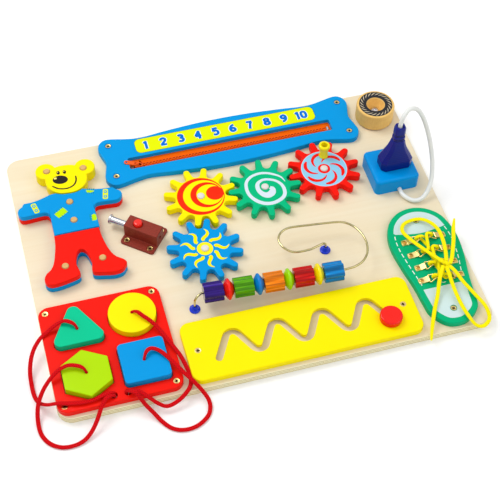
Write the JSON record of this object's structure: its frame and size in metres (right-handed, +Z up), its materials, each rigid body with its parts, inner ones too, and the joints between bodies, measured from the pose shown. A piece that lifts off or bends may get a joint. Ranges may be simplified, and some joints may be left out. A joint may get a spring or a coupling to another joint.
{
  "type": "wooden busy board",
  "caption": "Flat wooden activity board for toddlers: shape sorter, zip, meshing gears, maze, bead wire, lacing shoe, latch, plug, wheel and a dressing bear puzzle.",
  "frame": {"origin": "centre of the board's underside", "axes": "+X along the board's length, +Y across it towards the zipper, +Z up"},
  "size_m": [0.6316, 0.4994, 0.1422],
  "materials": {
    "birch_plywood": "clear lacquered birch plywood",
    "brass": "polished brass",
    "red_paint": "gloss red paint on wood",
    "yellow_paint": "gloss yellow paint on wood",
    "blue_paint": "gloss sky blue paint on wood",
    "green_paint": "gloss green paint on wood",
    "teal_paint": "gloss teal paint on wood",
    "lime_paint": "gloss lime paint on wood",
    "red_cord": "braided red cord",
    "yellow_lace": "woven yellow lace",
    "orange_tape": "woven orange zip tape with a coil chain",
    "orange_metal": "orange enamel on zinc",
    "white_plastic": "white plastic caps",
    "white_cord": "soft white cable",
    "zinc_steel": "zinc plated steel",
    "bright_wire": "bright plated wire",
    "beech": "turned beech",
    "navy_plastic": "navy plastic",
    "ferrule_blue": "blue plastic",
    "purple_glass": "translucent purple plastic",
    "green_glass": "translucent green plastic",
    "orange_glass": "translucent orange plastic",
    "red_glass": "translucent red plastic",
    "blue_glass": "translucent blue plastic",
    "bead_red": "gloss red paint on wood",
    "bead_blue": "gloss blue paint on wood",
    "bead_lime": "gloss lime paint on wood",
    "bead_yellow": "gloss yellow paint on wood",
    "brown_enamel": "brown hammered enamel"
  },
  "bodies": {
    "board": {"base_board": "birch_plywood", "brass_screws": "brass", "sorter_panel": "red_paint", "triangle_cord": "red_cord", "circle_cord": "red_cord", "hexagon_cord": "red_cord", "square_cord": "red_cord", "maze_panel": "yellow_paint", "zip_panel": "blue_paint", "zip_tape": "orange_tape", "axle_pins": "white_plastic", "socket_block": "blue_paint", "plug_cord": "white_cord", "bead_wire": "bright_wire", "wire_ferrules": "ferrule_blue", "shoe_panel": "green_paint", "ring_straps": "brass", "shoelace": "yellow_lace", "latch_case": "brown_enamel", "latch_spring": "zinc_steel", "bear_pegs": "beech"},
    "red_gear": {"red_gear": "red_paint", "knob_screw": "zinc_steel"},
    "green_gear": {"green_gear": "green_paint"},
    "yellow_gear": {"yellow_gear": "yellow_paint"},
    "blue_gear": {"blue_gear": "blue_paint"},
    "gear_knob": {"gear_knob": "yellow_paint"},
    "wheel": {"wheel": "beech"},
    "plug": {"plug": "navy_plastic"},
    "triangle_block": {"triangle_block": "teal_paint"},
    "circle_block": {"circle_block": "yellow_paint"},
    "hexagon_block": {"hexagon_block": "lime_paint"},
    "square_block": {"square_block": "blue_paint"},
    "bear_head": {"bear_head": "yellow_paint"},
    "shirt_under": {"shirt_under": "red_paint"},
    "shirt_top": {"shirt_top": "blue_paint"},
    "trousers_under": {"trousers_under": "blue_paint"},
    "trousers_top": {"trousers_top": "red_paint"},
    "maze_knob": {"maze_knob": "red_paint"},
    "zip_slider": {"zip_slider": "orange_metal"},
    "zip_pull": {"zip_pull": "orange_metal"},
    "latch_bolt": {"latch_bolt": "bright_wire"},
    "latch_button": {"latch_button": "red_paint"},
    "purple_bead": {"purple_bead": "purple_glass"},
    "red_disc_bead": {"red_disc_bead": "bead_red"},
    "green_bead": {"green_bead": "green_glass"},
    "blue_disc_bead": {"blue_disc_bead": "bead_blue"},
    "orange_bead": {"orange_bead": "orange_glass"},
    "lime_disc_bead": {"lime_disc_bead": "bead_lime"},
    "red_bead": {"red_bead": "red_glass"},
    "yellow_disc_bead": {"yellow_disc_bead": "bead_yellow"},
    "blue_bead": {"blue_bead": "blue_glass"},
    "left_ring_1": {"left_ring_1": "brass"},
    "left_ring_2": {"left_ring_2": "brass"},
    "left_ring_3": {"left_ring_3": "brass"},
    "left_ring_4": {"left_ring_4": "brass"},
    "right_ring_1": {"right_ring_1": "brass"},
    "right_ring_2": {"right_ring_2": "brass"},
    "right_ring_3": {"right_ring_3": "brass"},
    "right_ring_4": {"right_ring_4": "brass"}
  },
  "joints": [
    {"name": "red_gear_spin", "type": "hinge", "parent": "board", "child": "red_gear", "pos_m": [0.15175, 0.08288, 0.02], "axis": [0, 0, 1], "continuous": true},
    {"name": "green_gear_spin", "type": "hinge", "parent": "board", "child": "green_gear", "pos_m": [0.05746, 0.07129, 0.02], "axis": [0, 0, 1], "continuous": true},
    {"name": "yellow_gear_spin", "type": "hinge", "parent": "board", "child": "yellow_gear", "pos_m": [-0.0373, 0.078, 0.02], "axis": [0, 0, 1], "continuous": true},
    {"name": "blue_gear_spin", "type": "hinge", "parent": "board", "child": "blue_gear", "pos_m": [-0.0551, -0.01532, 0.02], "axis": [0, 0, 1], "continuous": true},
    {"name": "gear_knob_spin", "type": "hinge", "parent": "red_gear", "child": "gear_knob", "pos_m": [0.15852, 0.10747, 0.035], "axis": [0, 0, 1], "continuous": true},
    {"name": "wheel_spin", "type": "hinge", "parent": "board", "child": "wheel", "pos_m": [0.2625, 0.173, 0.025], "axis": [0, 0, 1], "continuous": true},
    {"name": "plug_pull", "type": "slide", "parent": "board", "child": "plug", "axis": [0, 0, 1], "range_m": [0, 0.03], "deforming": ["plug_cord"]},
    {"name": "triangle_lift", "type": "slide", "parent": "board", "child": "triangle_block", "axis": [0, 0, 1], "range_m": [0, 0.025], "deforming": ["triangle_cord"]},
    {"name": "circle_lift", "type": "slide", "parent": "board", "child": "circle_block", "axis": [0, 0, 1], "range_m": [0, 0.025], "deforming": ["circle_cord"]},
    {"name": "hexagon_lift", "type": "slide", "parent": "board", "child": "hexagon_block", "axis": [0, 0, 1], "range_m": [0, 0.025], "deforming": ["hexagon_cord"]},
    {"name": "square_lift", "type": "slide", "parent": "board", "child": "square_block", "axis": [0, 0, 1], "range_m": [0, 0.025], "deforming": ["square_cord"]},
    {"name": "head_lift", "type": "slide", "parent": "board", "child": "bear_head", "axis": [0, 0, 1], "range_m": [0, 0.03]},
    {"name": "shirt_under_lift", "type": "slide", "parent": "board", "child": "shirt_under", "axis": [0, 0, 1], "range_m": [0, 0.03]},
    {"name": "shirt_top_lift", "type": "slide", "parent": "shirt_under", "child": "shirt_top", "axis": [0, 0, 1], "range_m": [0, 0.03]},
    {"name": "trousers_under_lift", "type": "slide", "parent": "board", "child": "trousers_under", "axis": [0, 0, 1], "range_m": [0, 0.03]},
    {"name": "trousers_top_lift", "type": "slide", "parent": "trousers_under", "child": "trousers_top", "axis": [0, 0, 1], "range_m": [0, 0.03]},
    {"name": "maze_knob_slide", "type": "slide", "parent": "board", "child": "maze_knob", "axis": [-0.4827, 0.8758, 0], "range_m": [0, 0.034]},
    {"name": "zip_slide", "type": "slide", "parent": "board", "child": "zip_slider", "axis": [1, 0, 0], "range_m": [0, 0.285], "deforming": ["zip_tape"]},
    {"name": "zip_pull_hinge", "type": "hinge", "parent": "zip_slider", "child": "zip_pull", "pos_m": [-0.11, 0.166, 0.0195], "axis": [0.2756, 0.9613, 0], "range_deg": [0, 110]},
    {"name": "latch_bolt_push", "type": "slide", "parent": "board", "child": "latch_bolt", "axis": [0.7716, -0.6361, 0], "range_m": [0, 0.012], "stiffness_N_per_m": 60, "deforming": ["latch_spring"]},
    {"name": "latch_button_press", "type": "slide", "parent": "board", "child": "latch_button", "axis": [0, 0, -1], "range_m": [0, 0.003], "stiffness_N_per_m": 200},
    {"name": "bead_row_slide", "type": "slide", "parent": "board", "child": "purple_bead", "axis": [0.9982, -0.0593, 0], "range_m": [0, 0.005]},
    {"name": "red_disc_bead_spin", "type": "hinge", "parent": "purple_bead", "child": "red_disc_bead", "pos_m": [-0.04417, -0.09969, 0.0381], "axis": [0.9982, -0.0593, 0], "continuous": true},
    {"name": "green_bead_spin", "type": "hinge", "parent": "purple_bead", "child": "green_bead", "pos_m": [-0.0233, -0.10093, 0.0381], "axis": [0.9982, -0.0593, 0], "continuous": true},
    {"name": "blue_disc_bead_spin", "type": "hinge", "parent": "purple_bead", "child": "blue_disc_bead", "pos_m": [-0.00244, -0.10217, 0.0381], "axis": [0.9982, -0.0593, 0], "continuous": true},
    {"name": "orange_bead_spin", "type": "hinge", "parent": "purple_bead", "child": "orange_bead", "pos_m": [0.01843, -0.10341, 0.0381], "axis": [0.9982, -0.0593, 0], "continuous": true},
    {"name": "lime_disc_bead_spin", "type": "hinge", "parent": "purple_bead", "child": "lime_disc_bead", "pos_m": [0.03929, -0.10465, 0.0381], "axis": [0.9982, -0.0593, 0], "continuous": true},
    {"name": "red_bead_spin", "type": "hinge", "parent": "purple_bead", "child": "red_bead", "pos_m": [0.06015, -0.10589, 0.0381], "axis": [0.9982, -0.0593, 0], "continuous": true},
    {"name": "yellow_disc_bead_spin", "type": "hinge", "parent": "purple_bead", "child": "yellow_disc_bead", "pos_m": [0.08101, -0.10712, 0.0381], "axis": [0.9982, -0.0593, 0], "continuous": true},
    {"name": "blue_bead_spin", "type": "hinge", "parent": "purple_bead", "child": "blue_bead", "pos_m": [0.10188, -0.10836, 0.0381], "axis": [0.9982, -0.0593, 0], "continuous": true},
    {"name": "left_ring_1_swing", "type": "hinge", "parent": "board", "child": "left_ring_1", "pos_m": [0.2305, -0.076, 0.023], "axis": [0, -1, 0], "range_deg": [0, 45], "deforming": ["shoelace"]},
    {"name": "left_ring_2_swing", "type": "hinge", "parent": "board", "child": "left_ring_2", "pos_m": [0.2315, -0.0995, 0.023], "axis": [0, -1, 0], "range_deg": [0, 45], "deforming": ["shoelace"]},
    {"name": "left_ring_3_swing", "type": "hinge", "parent": "board", "child": "left_ring_3", "pos_m": [0.2335, -0.122, 0.023], "axis": [0, -1, 0], "range_deg": [0, 45], "deforming": ["shoelace"]},
    {"name": "left_ring_4_swing", "type": "hinge", "parent": "board", "child": "left_ring_4", "pos_m": [0.2305, -0.144, 0.023], "axis": [0, -1, 0], "range_deg": [0, 45], "deforming": ["shoelace"]},
    {"name": "right_ring_1_swing", "type": "hinge", "parent": "board", "child": "right_ring_1", "pos_m": [0.2665, -0.075, 0.023], "axis": [0, 1, 0], "range_deg": [0, 45], "deforming": ["shoelace"]},
    {"name": "right_ring_2_swing", "type": "hinge", "parent": "board", "child": "right_ring_2", "pos_m": [0.2665, -0.0985, 0.023], "axis": [0, 1, 0], "range_deg": [0, 45], "deforming": ["shoelace"]},
    {"name": "right_ring_3_swing", "type": "hinge", "parent": "board", "child": "right_ring_3", "pos_m": [0.2665, -0.123, 0.023], "axis": [0, 1, 0], "range_deg": [0, 45], "deforming": ["shoelace"]},
    {"name": "right_ring_4_swing", "type": "hinge", "parent": "board", "child": "right_ring_4", "pos_m": [0.2665, -0.1465, 0.023], "axis": [0, 1, 0], "range_deg": [0, 45], "deforming": ["shoelace"]}
  ],
  "couplings": [
    {"joint": "green_gear_spin", "follows": "red_gear_spin", "ratio": -1},
    {"joint": "yellow_gear_spin", "follows": "red_gear_spin", "ratio": 1},
    {"joint": "blue_gear_spin", "follows": "red_gear_spin", "ratio": -1}
  ]
}
